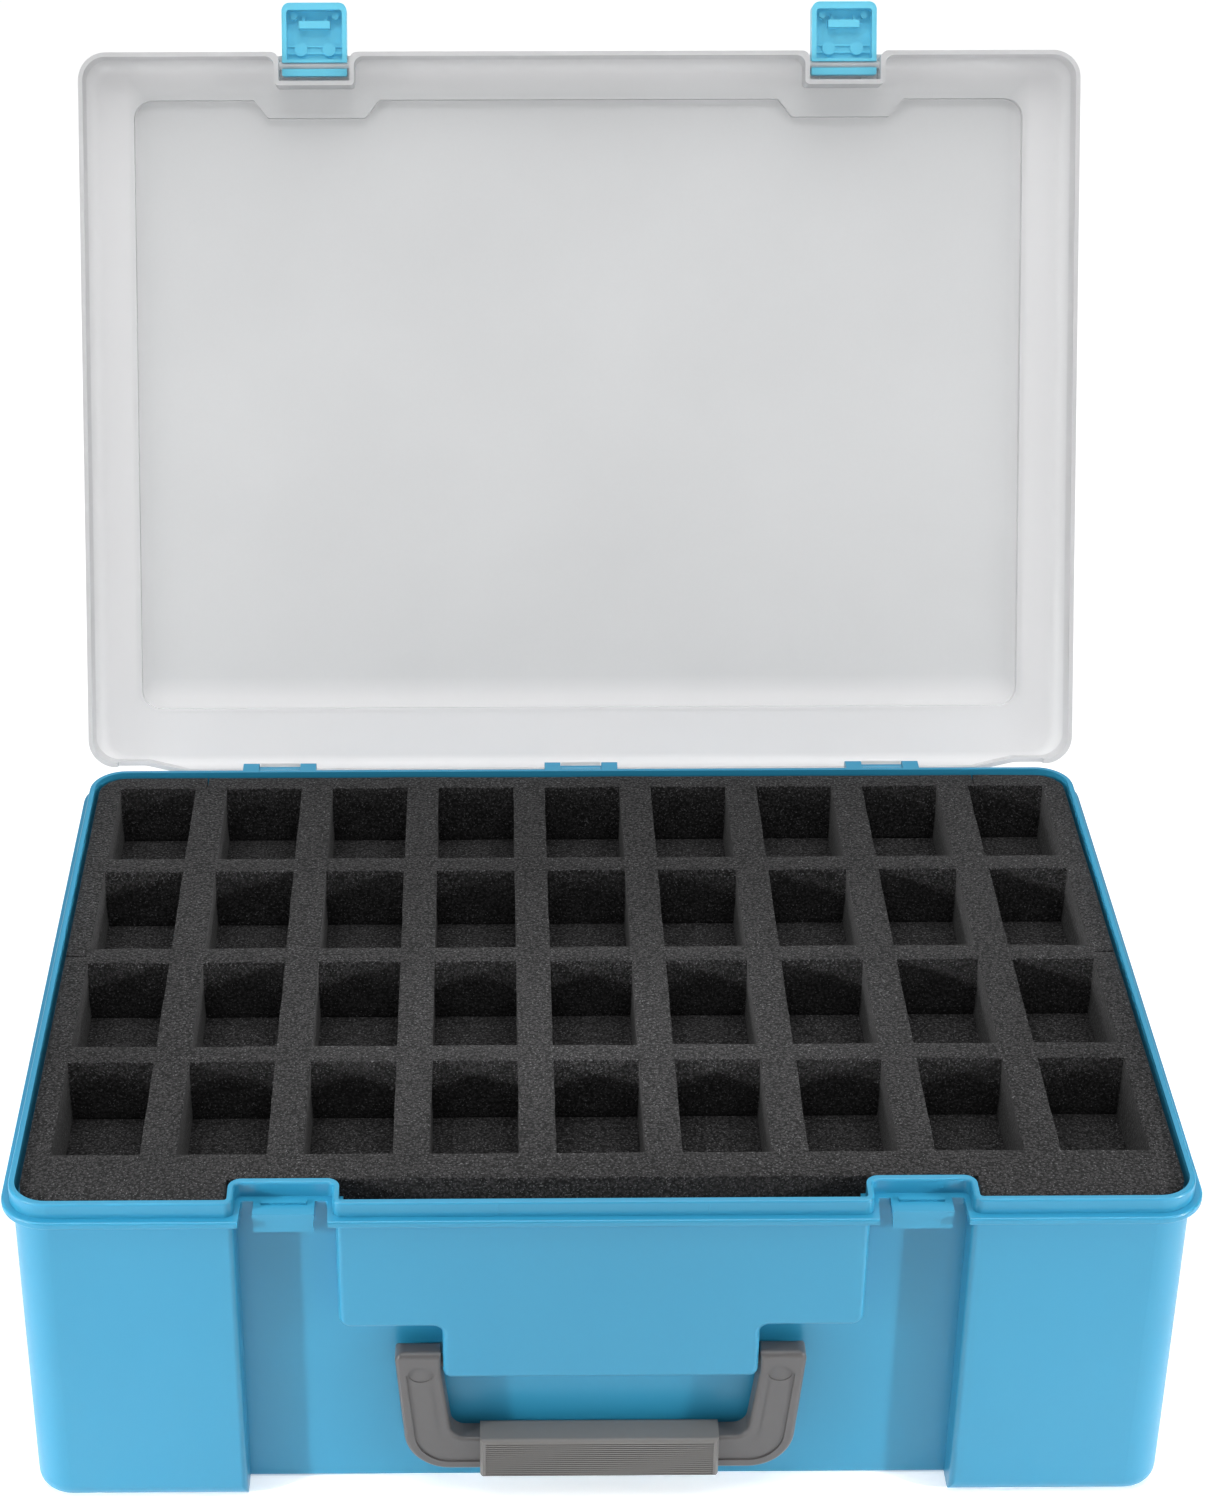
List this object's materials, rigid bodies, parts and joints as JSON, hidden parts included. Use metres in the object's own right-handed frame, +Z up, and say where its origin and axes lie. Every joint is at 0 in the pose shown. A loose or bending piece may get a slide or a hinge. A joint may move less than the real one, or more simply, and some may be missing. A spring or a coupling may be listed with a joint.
{
  "type": "carry case",
  "caption": "Moulded plastic carry case with a hinged frosted lid, flip latches, a folding handle and stacked foam trays cut into small compartments.",
  "frame": {"origin": "middle of the footprint, on the ground the case stands on", "axes": "+X to the right seen from the handle side, +Y to the back where the lid hinges, +Z up"},
  "size_m": [0.38, 0.4043, 0.3853],
  "materials": {
    "case_plastic": "satin moulded",
    "lid_plastic": "frosted translucent",
    "latch_plastic": "satin",
    "handle_plastic": "satin moulded",
    "grip_plastic": "fine ribs",
    "foam": "open-cell foam"
  },
  "bodies": {
    "case": {"case_body": "case_plastic"},
    "lid": {"lid_shell": "lid_plastic"},
    "left_latch": {"latch_left": "latch_plastic"},
    "right_latch": {"latch_right": "latch_plastic"},
    "handle": {"handle_bail": "handle_plastic", "handle_grip": "grip_plastic"},
    "tray_1": {"tray_1_base": "foam", "tray_1_grid": "foam"},
    "tray_2": {"tray_2_base": "foam", "tray_2_grid": "foam"},
    "tray_3": {"tray_3_base": "foam", "tray_3_grid": "foam"},
    "tray_4": {"tray_4_base": "foam", "tray_4_grid": "foam"}
  },
  "joints": [
    {"name": "lid_hinge", "type": "hinge", "parent": "case", "child": "lid", "pos_m": [0, 0.1374, 0.1215], "axis": [-1, 0, 0], "range_deg": [-114.8, 0]},
    {"name": "latch_left_hinge", "type": "hinge", "parent": "lid", "child": "left_latch", "pos_m": [-0.1004, 0.25371, 0.3632], "axis": [-1, 0, 0], "range_deg": [-90, 0]},
    {"name": "latch_right_hinge", "type": "hinge", "parent": "lid", "child": "right_latch", "pos_m": [0.1004, 0.25371, 0.3632], "axis": [-1, 0, 0], "range_deg": [-90, 0]},
    {"name": "handle_pivot", "type": "hinge", "parent": "case", "child": "handle", "pos_m": [0, -0.128, 0.0562], "axis": [-1, 0, 0], "range_deg": [0, 137]},
    {"name": "tray_1_slide", "type": "slide", "parent": "case", "child": "tray_1", "axis": [0, 0, 1], "range_m": [0, 0.12]},
    {"name": "tray_2_slide", "type": "slide", "parent": "tray_1", "child": "tray_2", "axis": [0, 0, 1], "range_m": [0, 0.09]},
    {"name": "tray_3_slide", "type": "slide", "parent": "tray_2", "child": "tray_3", "axis": [0, 0, 1], "range_m": [0, 0.062]},
    {"name": "tray_4_slide", "type": "slide", "parent": "tray_3", "child": "tray_4", "axis": [0, 0, 1], "range_m": [0, 0.033]}
  ]
}
